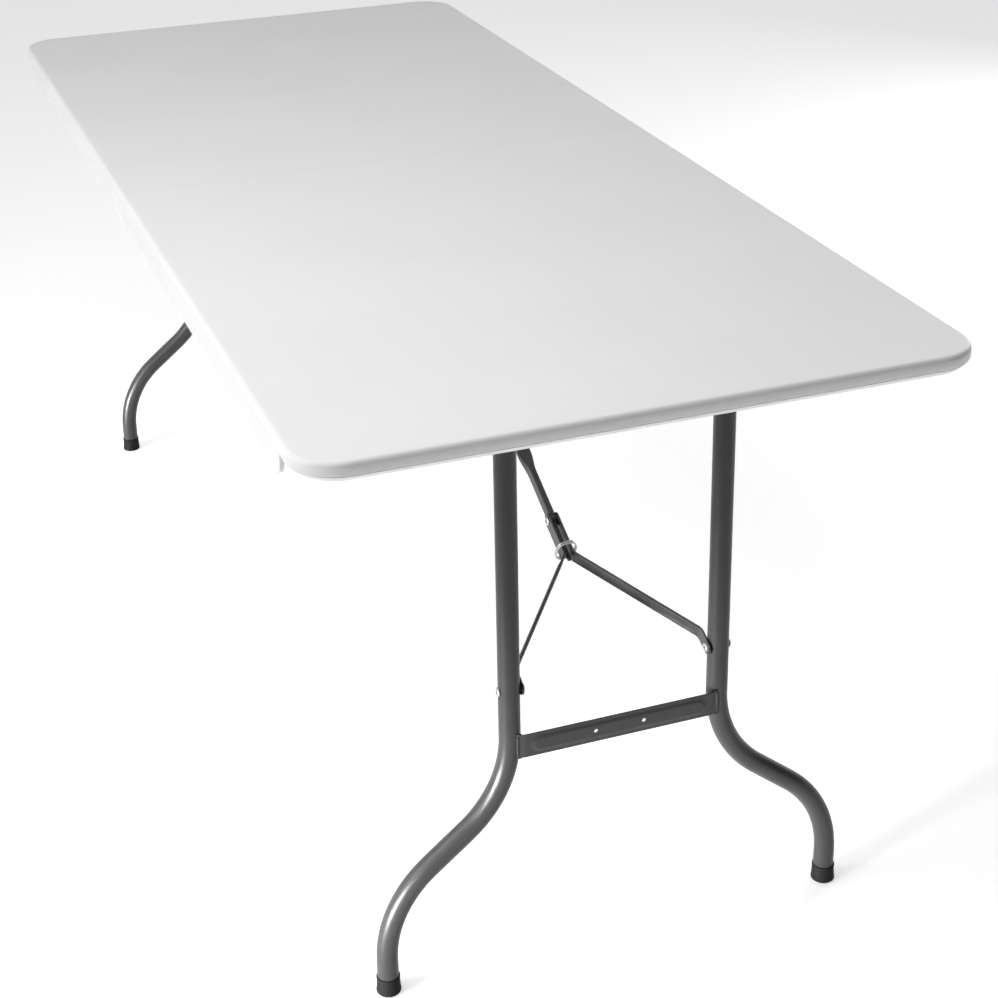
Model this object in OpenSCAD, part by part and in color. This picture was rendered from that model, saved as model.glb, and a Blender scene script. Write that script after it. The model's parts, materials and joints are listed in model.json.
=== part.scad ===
// Bi-fold table: a moulded plastic top in two halves on two folding steel leg frames.
// +X is the right short-side direction, +Y runs along the length, +Z is up.
// The origin is on the floor under the centre of the top. The near half is at -Y.

/* [Table] */
// Length of the open tabletop
table_l = 1800; // [1560:10:2200]
// Width of the tabletop
table_w = 760; // [680:5:915]
// Height of the tabletop above the floor
table_h = 740; // [680:5:780]
// Plan radius of the outer corners
corner_r = 55; // [40:1:70]
// Gap between the two halves when the table is open
seam_gap = 1; // [0.6:0.1:2]

/* [Top] */
// Thickness of the top at its edge
edge_t = 23; // [20:0.5:28]
// Height of the upright part of the edge, below the top
edge_wall_h = 14.4; // [12:0.2:16]
// Radius of the rounded upper edge
edge_round = 6; // [3:0.5:8]
// Thickness of the upper plate
plate_t = 3.5; // [2.5:0.1:5]
// Thickness of the edge wall and of the under skin
skin_t = 3; // [2:0.1:4]
// Depth of the skirt along the long sides, below the top
skirt_h = 40; // [36:0.5:50]
// Thickness of the skirt
skirt_t = 5; // [3:0.5:7]
// Distance from the end of the table to the end of the skirt
skirt_setback = 72; // [60:1:90]
// Radius of the skirt's lower end corner
skirt_end_r = 15; // [5:1:16]
// Thickness of the top inside the recess
recess_top_t = 14; // [12:0.5:16]
// Distance from the outer edges to the recess
recess_inset = 58; // [50:1:62]
// Distance from the seam to the recess
recess_seam_inset = 14; // [12:1:20]
// Corner radius of the recess
recess_r = 20; // [10:1:26]
// Spacing of the tack-off dimples
dimple_pitch = 90; // [80:5:120]
// Mouth radius of a dimple
dimple_r = 14; // [10:0.5:16]

/* [Rails] */
// Width of a side rail's flanges
rail_w = 15; // [12:0.5:18]
// Sheet thickness of the rails
rail_t = 1.5; // [1:0.1:2]
// Gap between a rail and the side of the recess
rail_gap = 3; // [2.6:0.1:6]
// Gap between a rail's end and the round corner of the recess
rail_end_gap = 2; // [1:0.5:10]
// Number of screws along each rail
rail_screws = 6; // [3:1:9]

/* [Leg frames] */
// Diameter of the leg tubes
leg_d = 25; // [22:0.5:28]
// Wall of the tubes
tube_wall = 1.2; // [1:0.1:2]
// Distance between the straight parts of the two legs
leg_spacing = 256; // [220:2:280]
// Distance between the feet
foot_spacing = 564; // [540:2:580]
// Distance from the end of the table to the leg frame
leg_setback = 120; // [116:1:150]
// Depth of the leg axle below the top
axle_drop = 31; // [30:0.5:36]
// Diameter of the leg axle
axle_d = 20; // [16:0.5:22]
// Bend radius of the leg tubes
bend_r = 145; // [110:1:150]
// Angle that a leg leans outwards between its two bends
bend_angle = 51.3; // [48:0.1:56]
// Height at which the lower bend ends
bend_bottom_z = 45; // [30:1:80]
// Height of the crossbar's middle above the floor
crossbar_z = 300; // [280:1:320]
// Height of the crossbar strip
crossbar_h = 30; // [20:1:36]
// Thickness of the crossbar strip
crossbar_t = 1.5; // [1:0.1:2.5]
// Distance between the two holes in the crossbar
crossbar_hole_spacing = 59; // [40:1:80]
// Diameter of the two holes in the crossbar
crossbar_hole_d = 5; // [3:0.5:7]

/* [Feet] */
// Height of a foot cap
cap_h = 22; // [16:1:30]
// Thickness of a foot cap's floor
cap_floor = 4; // [2:0.5:6]
// Wall of a foot cap at its mouth
cap_wall = 1; // [0.8:0.1:2]
// Extra radius of a foot cap at the floor
cap_flare = 1; // [0:0.1:1.5]

/* [Brace] */
// Height of the rivets that hold the fork to the legs
brace_z = 369; // [350:1:390]
// Distance from the seam to the arm's upper pin
arm_pin_y = 115; // [108:1:125]
// Depth of the arm's upper pin below the top
arm_pin_drop = 36; // [35:0.5:38]
// Width of the fork's strips
fork_w = 18; // [14:0.5:20]
// Thickness of the fork's strips
fork_t = 2.6; // [2:0.1:3]
// Length of a fork strip along its leg rivet
fork_foot = 20; // [14:1:26]
// Length that the two fork strips run side by side
fork_neck = 54; // [50:1:60]
// Width of the arm's narrow channel
arm_w = 7.6; // [6:0.2:8.4]
// Depth of the arm's narrow channel
arm_h = 14; // [10:0.5:15]
// Width of the arm's flat upper part
arm_flat_w = 17; // [12:0.5:18]
// Depth of the arm's flat upper part
arm_flat_h = 6; // [4:0.5:8]
// Sheet thickness of the arm
arm_t = 1.5; // [1.2:0.1:1.8]
// Length of the narrow channel above the elbow
arm_neck = 78; // [60:1:120]
// Length of the arm's tail below the elbow
arm_tail = 62; // [55:1:66]
// Distance from the elbow to the lock ring
ring_below = 45; // [40:1:48]
// Wire diameter of the lock ring
ring_wire = 2.2; // [1.6:0.1:2.6]
// Inside width of the lock ring
ring_in_w = 21.4; // [20:0.2:24]
// Inside height of the lock ring
ring_in_h = 29.6; // [28:0.2:31]
// Diameter of the brace rivets and of the arm's upper pin
rivet_d = 6; // [5:0.5:7]

/* [Hinges] */
// Depth of the centre hinge's axis below the top
hinge_drop = 47; // [46:0.5:50]
// Diameter of the hinge pins
hinge_pin_d = 8; // [6:0.5:9]
// Thickness of each hinge ear
hinge_ear_t = 2.5; // [2:0.1:2.5]
// Length of a hinge plate along its rail
hinge_plate_l = 66; // [50:1:90]

/* [Handle and latch] */
// Length of the carry handle
handle_l = 116; // [100:1:130]
// Reach of the carry handle from its pivot
handle_reach = 25; // [22:0.5:27]
// Thickness of the carry handle
handle_t = 7; // [5:0.5:8]
// Distance from the seam to the middle of the handle
handle_y = 450; // [400:5:500]
// Distance from the seam to the latch
latch_y = 660; // [600:5:700]
// Thickness of the latch hook
latch_t = 2.5; // [2:0.1:3]

/* [Fits] */
// Radial clearance of the turning pins and axles
run_fit = 0.05; // [0.02:0.01:0.09]
// Gap between faces that slide past each other
side_gap = 0.3; // [0.2:0.05:0.5]

/* [Hidden] */

$fn = 48;
eps = 0.01;
half_l = table_l / 2;
half_w = table_w / 2;
seam_y = -seam_gap / 2;
under_z = table_h - edge_t;
ceiling_z = table_h - recess_top_t;
plate_z = table_h - plate_t;
skirt_z = table_h - skirt_h;
edge_cham = edge_t - edge_wall_h;
lip_r = corner_r - edge_cham - 4.4;

recess_x = half_w - recess_inset;
recess_y0 = -half_l + recess_inset;
recess_y1 = -recess_seam_inset;

rail_x = recess_x - rail_gap;
corner_room = recess_r - sqrt(recess_r * recess_r - pow(recess_r - rail_gap, 2));
rail_y0 = recess_y0 + corner_room + rail_end_gap;
rail_y1 = recess_y1 - corner_room - rail_end_gap;
rail_h = ceiling_z - skirt_z;
screw_x = rail_x - rail_w / 2;
screw_d = 4;

axle_z = table_h - axle_drop;
leg_y = -half_l + leg_setback;
leg_x = leg_spacing / 2;
foot_x = foot_spacing / 2;
leg_r = leg_d / 2;
bend_out = bend_r * (1 - cos(bend_angle));
lean_l = (foot_x - leg_x - 2 * bend_out) / sin(bend_angle);
bend_top_z = bend_bottom_z + 2 * bend_r * sin(bend_angle) + lean_l * cos(bend_angle);
crossbar_l = leg_spacing - 4;

// The brace is straight when the legs are out and folded flat when they are in. The fork
// length and the arm length follow from those two positions of the leg rivets.
arm_pin_z = table_h - arm_pin_drop;
crank = axle_z - brace_z;
run_out = -arm_pin_y - leg_y;
reach_out = norm([run_out, arm_pin_z - brace_z]);
reach_in = norm([run_out - crank, arm_pin_z - axle_z]);
fork_l = (reach_out - reach_in) / 2;
arm_l = (reach_out + reach_in) / 2;
brace_angle = atan2(arm_pin_z - brace_z, run_out);

rivet_r = rivet_d / 2;
head_r = rivet_r + 2.5;
head_t = 2.2;
fork_x_top = arm_w / 2 + side_gap + fork_t / 2;
fork_x_foot = leg_x - leg_r - side_gap - fork_t / 2;

bar_w = 24;
bar_t = 2;
bar_z = ceiling_z - rail_t - bar_t;
bracket_in = (arm_flat_w + 3) / 2;
bracket_t = 2;
knuckle_r = 7;

hinge_z = table_h - hinge_drop;
hinge_r = hinge_pin_d / 2 + 4;
hinge_x = rail_x - rail_t;
hinge_slot = hinge_ear_t + 2 * side_gap;
hinge_depth = 2 * hinge_ear_t + hinge_slot;
hinge_y = rail_y1 - 6;

handle_x = half_w - skirt_t - 4.5;
handle_z = under_z - 8;
handle_pin_r = 2.5;
clip_t = 6;
clip_x0 = min(handle_x - 4, half_w - edge_cham - 4.9);

latch_x = half_w - skirt_t - 14;
latch_r = 6;
latch_z = under_z - latch_r - 2;
latch_reach = 2 * (latch_z - hinge_z);

shell_col = "whitesmoke";
steel_col = "dimgray";
zinc_col = "silver";
rubber_col = "black";

// ---- helpers ----

// Centre line of a strip, offset sideways by d, with mitred corners
function dir(a, b) = (b - a) / norm(b - a);
function left_of(v) = [-v[1], v[0]];
function mitre(u, v) = (left_of(u) + left_of(v)) / (1 + u * v);
function offset_path(p, d) = [
  for (i = [0 : len(p) - 1])
    let (u = i == 0 ? dir(p[0], p[1]) : dir(p[i - 1], p[i]))
    let (v = i == len(p) - 1 ? u : dir(p[i], p[i + 1]))
    p[i] + d * mitre(u, v)
];
function reversed(p) = [for (i = [len(p) - 1 : -1 : 0]) p[i]];
function strip(p, d0, d1) = concat(offset_path(p, d0), reversed(offset_path(p, d1)));
function arc(c, r, a0, a1, n) = [
  for (i = [0 : n])
    let (a = a0 + (a1 - a0) * i / n)
    c + r * [cos(a), sin(a)]
];

module rod_x(r, x0, x1) {
  translate([x0, 0, 0])
    rotate([0, 90, 0])
      cylinder(r = r, h = x1 - x0);
}

module rod_y(r, y0, y1) {
  translate([0, y0, 0])
    rotate([-90, 0, 0])
      cylinder(r = r, h = y1 - y0);
}

// A prism with its outline in the Y-Z plane, running along X
module prism_x(points, x0, x1) {
  translate([x0, 0, 0])
    rotate([90, 0, 90])
      linear_extrude(height = x1 - x0)
        polygon(points);
}

module box(low, high) {
  translate(low)
    cube(high - low);
}

module both_sides() {
  children();
  mirror([1, 0, 0])
    children();
}

module far() {
  mirror([0, 1, 0])
    children();
}

module round_rect(x0, x1, y0, y1, r) {
  union() {
    translate([x0 + r, y0])
      square([x1 - x0 - 2 * r, y1 - y0]);
    translate([x0, y0 + r])
      square([x1 - x0, y1 - y0 - 2 * r]);
    for (x = [x0 + r, x1 - r], y = [y0 + r, y1 - r])
      translate([x, y])
        circle(r);
  }
}

// ---- tabletop ----

// Section through the edge: radius outwards from the corner's centre, then height
function edge_section() = concat(
  [[0, plate_z], [0, table_h]],
  arc([corner_r - edge_round, table_h - edge_round], edge_round, 90, 0, 6),
  [
    [corner_r, table_h - edge_wall_h],
    [corner_r - edge_cham, under_z],
    [lip_r, under_z],
    [lip_r, under_z + skin_t],
    [corner_r - edge_cham - skin_t * (sqrt(2) - 1), under_z + skin_t],
    [corner_r - skin_t, table_h - edge_wall_h + skin_t * (sqrt(2) - 1)],
    [corner_r - skin_t, plate_z]
  ]
);

module skirt_outline() {
  y0 = -half_l + skirt_setback;
  top = table_h - edge_wall_h + 1;
  points = concat(
    [[seam_y, skirt_z], [seam_y, top], [y0, top]],
    arc([y0 + skirt_end_r, skirt_z + skirt_end_r], skirt_end_r, 180, 270, 8)
  );
  prism_x(points, half_w - skirt_t, half_w);
}

// Upper skin of one half: plate, rounded edge on three sides, seam wall and skirts
module top_skin(handle_slot) {
  edge_x = half_w - corner_r;
  edge_y = -half_l + corner_r;
  difference() {
    union() {
      box([-edge_x, edge_y, plate_z], [edge_x, seam_y, table_h]);
      both_sides() {
        translate([edge_x, edge_y, 0])
          rotate([0, 0, -90])
            rotate_extrude(angle = 90)
              polygon(edge_section());
        translate([edge_x, seam_y, 0])
          rotate([90, 0, 0])
            linear_extrude(height = seam_y - edge_y)
              polygon(edge_section());
        skirt_outline();
      }
      translate([-edge_x, edge_y, 0])
        rotate([90, 0, -90])
          mirror([0, 0, 1])
            linear_extrude(height = 2 * edge_x)
              polygon(edge_section());
      box([-half_w + skin_t, seam_y - skin_t, under_z], [half_w - skin_t, seam_y, table_h - eps]);
    }
    if (handle_slot)
      handle_cut();
  }
}

module handle_cut() {
  l = handle_l + 8;
  translate([0, -handle_y, 0])
    box([half_w - skirt_t - 1, -l / 2, skirt_z - 1], [half_w + 1, l / 2, under_z]);
}

module dimples(r_low, r_high, z_top) {
  nx = floor((recess_x - rail_w - rail_gap - dimple_r) / dimple_pitch);
  y_free = recess_y1 - recess_y0 - 4 * dimple_r;
  ny = floor(y_free / dimple_pitch);
  y_mid = (recess_y0 + recess_y1) / 2;
  for (i = [-nx : nx], j = [-ny / 2 : ny / 2])
    translate([i * dimple_pitch, y_mid + j * dimple_pitch, ceiling_z - eps])
      cylinder(h = z_top - ceiling_z + eps, r1 = r_low, r2 = r_high, $fn = 24);
}

// Lower skin of one half: a border, a recess for the legs and rows of dimples
module under_skin() {
  x1 = half_w - corner_r + lip_r;
  y0 = -half_l + corner_r - lip_r;
  y1 = seam_y - skin_t;
  wall = skin_t;
  difference() {
    union() {
      translate([0, 0, under_z])
        linear_extrude(height = skin_t)
          difference() {
            round_rect(-x1, x1, y0, y1 + lip_r, lip_r);
            translate([-table_w, y1])
              square([2 * table_w, table_l]);
          }
      translate([0, 0, under_z])
        linear_extrude(height = ceiling_z - under_z + skin_t)
          round_rect(-recess_x - wall, recess_x + wall, recess_y0 - wall, y1, recess_r + wall);
      dimples(dimple_r, 0.55 * dimple_r, plate_z);
    }
    translate([0, 0, under_z - 1])
      linear_extrude(height = ceiling_z - under_z + 1)
        round_rect(-recess_x, recess_x, recess_y0, recess_y1, recess_r);
    dimples(dimple_r - 2.5, 0.55 * dimple_r - 2.5, plate_z - 2.5);
    screw_holes();
  }
}

module screw_positions() {
  step = (rail_y1 - rail_y0 - 40) / (rail_screws - 1);
  for (i = [0 : rail_screws - 1])
    translate([screw_x, rail_y0 + 20 + i * step, 0])
      children();
}

module screw_holes() {
  both_sides()
    screw_positions()
      translate([0, 0, skirt_z + 4])
        cylinder(d = screw_d, h = rail_h + skin_t);
}

// ---- frame under one half ----

module rail() {
  difference() {
    box([rail_x - rail_w, rail_y0, skirt_z], [rail_x, rail_y1, ceiling_z]);
    box(
      [rail_x - rail_w - 1, rail_y0 - 1, skirt_z + rail_t],
      [rail_x - rail_t, rail_y1 + 1, ceiling_z - rail_t]
    );
    screw_holes();
    translate([0, leg_y, axle_z])
      rod_x(axle_d / 2 + run_fit, rail_x - rail_w - 1, rail_x + 1);
  }
}

module frame_screws() {
  head_z = ceiling_z - rail_t;
  both_sides()
    screw_positions() {
      translate([0, 0, head_z - 2])
        cylinder(d = 2 * screw_d, h = 2);
      translate([0, 0, head_z])
        cylinder(d = screw_d, h = rail_t + skin_t + 2);
    }
}

module brace_bar() {
  x1 = rail_x - rail_t;
  box([-x1, -arm_pin_y - bar_w / 2, bar_z], [x1, -arm_pin_y + bar_w / 2, bar_z + bar_t]);
}

module arm_bracket() {
  base_z = bar_z - bracket_t;
  ear_w = 11;
  translate([0, -arm_pin_y, 0])
    difference() {
      union() {
        box([-bracket_in - bracket_t, -ear_w, base_z], [bracket_in + bracket_t, ear_w, bar_z]);
        both_sides() {
          box(
            [bracket_in, -ear_w / 1.5, arm_pin_z],
            [bracket_in + bracket_t, ear_w / 1.5, base_z + eps]
          );
          translate([0, 0, arm_pin_z])
            rod_x(ear_w / 1.5, bracket_in, bracket_in + bracket_t);
        }
      }
      translate([0, 0, arm_pin_z])
        rod_x(rivet_r, -bracket_in - 2 * bracket_t, bracket_in + 2 * bracket_t);
    }
}

module arm_pin() {
  out = bracket_in + bracket_t;
  translate([0, -arm_pin_y, arm_pin_z]) {
    rod_x(rivet_r, -out, out);
    both_sides()
      rod_x(head_r - 0.5, out, out + 1.5);
  }
}

// ---- centre hinge ----

module hinge_plate(x0, x1) {
  y0 = hinge_y - hinge_plate_l;
  low = skirt_z + rail_t;
  high = under_z - 3;
  difference() {
    union() {
      prism_x([[y0, low], [y0, high], [-4, high], [3, low]], x0, x1);
      prism_x([[-hinge_r, hinge_z], [-hinge_r - 6, low + 1], [3, low + 1], [hinge_r, hinge_z]], x0, x1);
      translate([0, 0, hinge_z])
        rod_x(hinge_r, x0, x1);
    }
    translate([0, 0, hinge_z])
      rod_x(hinge_pin_d / 2, x0 - 1, x1 + 1);
  }
}

module hinge_clevises() {
  in_x = hinge_x - hinge_depth;
  both_sides() {
    hinge_plate(hinge_x - hinge_ear_t, hinge_x);
    hinge_plate(in_x, in_x + hinge_ear_t);
    box(
      [in_x + hinge_ear_t - eps, hinge_y - hinge_plate_l, skirt_z + rail_t],
      [hinge_x - hinge_ear_t + eps, hinge_y, under_z - 3]
    );
  }
}

module hinge_tongues() {
  tongue_x = hinge_x - hinge_ear_t - side_gap;
  both_sides()
    difference() {
      union() {
        hinge_plate(tongue_x - hinge_ear_t, tongue_x);
        box(
          [tongue_x - eps, hinge_y - hinge_plate_l, skirt_z + rail_t],
          [hinge_x, hinge_y, under_z - 3]
        );
      }
      translate([0, 0, hinge_z])
        rod_x(hinge_pin_d / 2 + run_fit, tongue_x - hinge_ear_t - 1, tongue_x + 1);
    }
}

module hinge_pin() {
  translate([0, 0, hinge_z]) {
    rod_x(hinge_pin_d / 2, hinge_x - hinge_depth, hinge_x);
    rod_x(hinge_pin_d / 2 + 2, hinge_x, hinge_x + 2);
    rod_x(hinge_pin_d / 2 + 2, hinge_x - hinge_depth - 2, hinge_x - hinge_depth);
  }
}

// ---- carry handle and latch ----

// A bail that hangs from two stubs inside the skirt and swings out through the skirt's slot
module handle() {
  end = handle_l / 2;
  r = handle_t / 2;
  translate([handle_x, -handle_y, handle_z])
    difference() {
      union() {
        rotate([90, 0, 90])
          translate([0, 0, -r])
            linear_extrude(height = handle_t)
              difference() {
                round_rect(-end, end, -handle_reach - r, 3 * handle_t, 2 * handle_t);
                round_rect(-end + handle_t, end - handle_t, r - handle_reach, 4 * handle_t, handle_t);
                translate([-table_w, 0])
                  square(2 * table_w);
              }
        for (y = [-end, end - handle_t])
          rod_y(r, y, y + handle_t);
      }
      rod_y(handle_pin_r + run_fit, -end - 1, end + 1);
    }
}

// Two clips under the border, each with a stub that the handle turns on
module handle_clip_pair() {
  end = handle_l / 2 - handle_t - side_gap;
  translate([0, -handle_y, 0])
    for (s = [-1, 1])
      scale([1, s, 1]) {
        box(
          [clip_x0, end - clip_t, handle_z - 4],
          [handle_x + 4, end, under_z]
        );
        translate([handle_x, 0, handle_z])
          rod_y(handle_pin_r, end - eps, end + side_gap + handle_t - 1);
      }
}

module latch_base() {
  back = latch_x - latch_t - 2 * side_gap - 8;
  translate([0, -latch_y, 0]) {
    box([back, -8, latch_z - 7], [latch_x - latch_t - side_gap, 8, under_z]);
    translate([0, 0, latch_z]) {
      rod_x(rivet_r, latch_x - latch_t - side_gap - eps, latch_x + side_gap);
      rod_x(head_r - 1, latch_x + side_gap, latch_x + side_gap + 1.5);
    }
  }
}

// A hook that hangs beside the skirt and catches the other half's stud when the top is shut
module latch_hook_part() {
  notch_r = rivet_r + 0.5;
  translate([0, -latch_y, latch_z])
    difference() {
      union() {
        rod_x(latch_r, latch_x - latch_t, latch_x);
        box([latch_x - latch_t, -latch_r, -latch_reach], [latch_x, latch_r, 0]);
        translate([0, 0, -latch_reach])
          rod_x(latch_r + 1, latch_x - latch_t, latch_x);
      }
      rod_x(rivet_r + run_fit, latch_x - latch_t - 1, latch_x + 1);
      translate([0, 0, -latch_reach])
        rod_x(notch_r, latch_x - latch_t - 1, latch_x + 1);
      box(
        [latch_x - latch_t - 1, -latch_r - 2, -latch_reach - notch_r],
        [latch_x + 1, 0, -latch_reach + notch_r]
      );
    }
}

module latch_stud_part() {
  translate([0, latch_y, 0]) {
    box(
      [latch_x - latch_t - side_gap - 8, -8, latch_z - 7],
      [latch_x - latch_t - side_gap, 8, under_z]
    );
    translate([0, 0, latch_z]) {
      rod_x(rivet_r, latch_x - latch_t - side_gap - eps, latch_x + side_gap);
      rod_x(rivet_r + 1.5, latch_x + side_gap, latch_x + side_gap + 1.5);
    }
  }
}

// ---- leg frame ----

// The leg as bars joined by bends, drawn for the right leg. Each bend is a hair thinner
// than the bars and runs a little way into them, so that the joints are clean.
module leg_bend(r) {
  bite = 1.5;
  rotate([90, 0, 0])
    rotate([0, 0, -bite])
      rotate_extrude(angle = bend_angle + 2 * bite)
        translate([bend_r, 0])
          circle(r - 0.1);
}

module leg_run(r, top, bottom) {
  lean_x = leg_x + bend_out;
  lean_z = bend_top_z - bend_r * sin(bend_angle);
  translate([leg_x, leg_y, bend_top_z])
    cylinder(r = r, h = top - bend_top_z);
  translate([leg_x + bend_r, leg_y, bend_top_z])
    rotate([0, 180, 0])
      leg_bend(r);
  translate([lean_x, leg_y, lean_z])
    rotate([0, 180 - bend_angle, 0])
      cylinder(r = r, h = lean_l);
  translate([foot_x - bend_r, leg_y, bend_bottom_z])
    leg_bend(r);
  translate([foot_x, leg_y, bottom])
    cylinder(r = r, h = bend_bottom_z - bottom);
}

module leg() {
  difference() {
    leg_run(leg_r, axle_z, cap_floor);
    leg_run(leg_r - tube_wall, axle_z + 1, cap_floor - 1);
    translate([0, leg_y, axle_z])
      rod_x(axle_d / 2, 0, table_w);
    translate([0, leg_y, brace_z])
      rod_x(rivet_r, 0, leg_x + leg_d);
  }
}

module leg_axle() {
  end = rail_x + 2.2;
  translate([0, leg_y, axle_z])
    difference() {
      rod_x(axle_d / 2, -end, end);
      rod_x(axle_d / 2 - tube_wall, -end - 1, end + 1);
    }
}

module axle_caps() {
  translate([0, leg_y, axle_z])
    both_sides()
      difference() {
        rod_x(axle_d / 2 + 2, rail_x + side_gap, rail_x + side_gap + 1.2);
        rod_x(axle_d / 2, rail_x, rail_x + 3);
      }
}

module leg_crossbar() {
  back = leg_y - leg_r;
  rib_h = crossbar_h / 3;
  rib_l = crossbar_l - 40;
  rib_out = crossbar_t;
  difference() {
    union() {
      box(
        [-crossbar_l / 2, back - crossbar_t, crossbar_z - crossbar_h / 2],
        [crossbar_l / 2, back, crossbar_z + crossbar_h / 2]
      );
      prism_x(
        [
          [back - crossbar_t + eps, crossbar_z - rib_h / 2],
          [back - crossbar_t - rib_out, crossbar_z - rib_h / 4],
          [back - crossbar_t - rib_out, crossbar_z + rib_h / 4],
          [back - crossbar_t + eps, crossbar_z + rib_h / 2]
        ],
        -rib_l / 2, rib_l / 2
      );
    }
    for (s = [-1, 1])
      translate([s * crossbar_hole_spacing / 2, 0, crossbar_z])
        rod_y(crossbar_hole_d / 2, back - crossbar_t - rib_out - 1, back + 1);
  }
}

// The leg's share of the rivets: from its inner face out through it to a head
module leg_rivets() {
  translate([0, leg_y, brace_z])
    both_sides() {
      rod_x(rivet_r, leg_x - leg_r, leg_x + leg_r);
      rod_x(head_r, leg_x + leg_r, leg_x + leg_r + head_t);
    }
}

module foot() {
  low_r = leg_r + cap_wall + cap_flare;
  translate([foot_x, leg_y, 0])
    rotate_extrude()
      polygon([
        [0, 0], [low_r - 1, 0], [low_r, 1], [leg_r + cap_wall, cap_h],
        [leg_r, cap_h], [leg_r, cap_floor], [0, cap_floor]
      ]);
}

// ---- folding brace ----

// Local frame of the fork: origin at the leg rivets, +Y up the brace, +Z out of its plane
module at_fork() {
  translate([0, leg_y, brace_z])
    rotate([brace_angle, 0, 0])
      children();
}

// Local frame of the arm: origin at its upper pin, -Y down the brace
module at_arm() {
  translate([0, -arm_pin_y, arm_pin_z])
    rotate([brace_angle, 0, 0])
      children();
}

// The right strip of the fork, with a rib along its slanted part
module fork_strip() {
  neck_y = fork_l - fork_neck;
  path = [[fork_x_foot, 0], [fork_x_foot, fork_foot], [fork_x_top, neck_y], [fork_x_top, fork_l]];
  lean = dir(path[1], path[2]);
  rib = [path[1] + 12 * lean, path[2] - 12 * lean];
  at_fork()
    difference() {
      union() {
        translate([0, 0, -fork_w / 2])
          linear_extrude(height = fork_w)
            polygon(strip(path, -fork_t / 2, fork_t / 2));
        translate([0, 0, -fork_w / 6])
          linear_extrude(height = fork_w / 3)
            polygon(strip(rib, 0, fork_t / 2 + 1.3));
        rod_x(fork_w / 2, fork_x_foot - fork_t / 2, fork_x_foot + fork_t / 2);
        translate([0, fork_l, 0])
          rod_x(fork_w / 2, fork_x_top - fork_t / 2, fork_x_top + fork_t / 2);
      }
      rod_x(rivet_r, fork_x_foot - fork_t, fork_x_foot + fork_t);
      translate([0, fork_l, 0])
        rod_x(rivet_r, fork_x_top - fork_t, fork_x_top + fork_t);
    }
}

// The fork's share of the rivets: through each strip to a head on its inner face
module fork_rivets() {
  in_x = fork_x_foot - fork_t / 2;
  at_fork()
    both_sides() {
      rod_x(rivet_r, in_x, in_x + fork_t);
      rod_x(head_r, in_x - head_t, in_x);
    }
}

module elbow_pin() {
  out_x = fork_x_top + fork_t / 2;
  at_fork()
    translate([0, fork_l, 0]) {
      rod_x(rivet_r, -out_x, out_x);
      both_sides()
        rod_x(head_r, out_x, out_x + 2);
    }
}

// Upper arm: knuckle, flat upper channel, taper, narrow channel, elbow and tail
module brace_arm() {
  neck_y = -arm_l + arm_neck;
  flat_x = arm_flat_w / 2;
  neck_x = arm_w / 2;
  at_arm()
    difference() {
      union() {
        rod_x(knuckle_r, -flat_x, flat_x);
        box([-flat_x, neck_y + 40, -arm_flat_h / 2], [flat_x, 0, arm_flat_h / 2]);
        translate([0, 0, -arm_flat_h / 2])
          linear_extrude(height = arm_flat_h)
            polygon([
              [-flat_x, neck_y + 40 + eps], [flat_x, neck_y + 40 + eps], [flat_x, neck_y + 6],
              [neck_x, neck_y], [-neck_x, neck_y]
            ]);
        box([-neck_x, -arm_l, -arm_h / 2], [neck_x, neck_y + 4, arm_h / 2]);
        translate([0, -arm_l, 0])
          rod_x(arm_h / 2, -neck_x, neck_x);
        box([-arm_t, -arm_l - arm_tail + 5, -4], [arm_t, -arm_l, 4]);
        translate([0, -arm_l - arm_tail + 5, 0])
          rod_x(4, -arm_t, arm_t);
      }
      box(
        [-flat_x + arm_t, neck_y + 40, -arm_flat_h / 2 - 1],
        [flat_x - arm_t, -knuckle_r - 4, arm_flat_h / 2 - arm_t]
      );
      box(
        [-neck_x + arm_t, -arm_l + arm_h / 2, -arm_h / 2 - 1],
        [neck_x - arm_t, neck_y - 4, arm_h / 2 - arm_t]
      );
      for (y = [-arm_l, 0])
        translate([0, y, 0])
          rod_x(rivet_r + run_fit, -table_w, table_w);
    }
}

// One turn of the lock ring: a rounded rectangle of wire round the arm and fork
module ring_turn() {
  r = ring_wire / 2;
  bend = 7;
  x = ring_in_w / 2 + r - bend;
  z = ring_in_h / 2 + r - bend;
  for (a = [0, 180])
    rotate([0, a, 0]) {
      translate([x, 0, z])
        rotate([90, 0, 0])
          rotate_extrude(angle = 90)
            translate([bend, 0])
              circle(r, $fn = 16);
      translate([-x, 0, z])
        rotate([90, 0, 0])
          rotate([0, 0, 90])
            rotate_extrude(angle = 90)
              translate([bend, 0])
                circle(r, $fn = 16);
      translate([0, 0, z + bend])
        rotate([0, 90, 0])
          cylinder(r = r, h = 2 * x + 2 * eps, center = true, $fn = 16);
      translate([x + bend, 0, 0])
        cylinder(r = r, h = 2 * z + 2 * eps, center = true, $fn = 16);
    }
}

module lock_ring() {
  at_arm()
    for (s = [-1, 1])
      translate([0, -arm_l - ring_below + s * (ring_wire / 2 + 0.05), 0])
        ring_turn();
}

// ---- nodes ----

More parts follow.
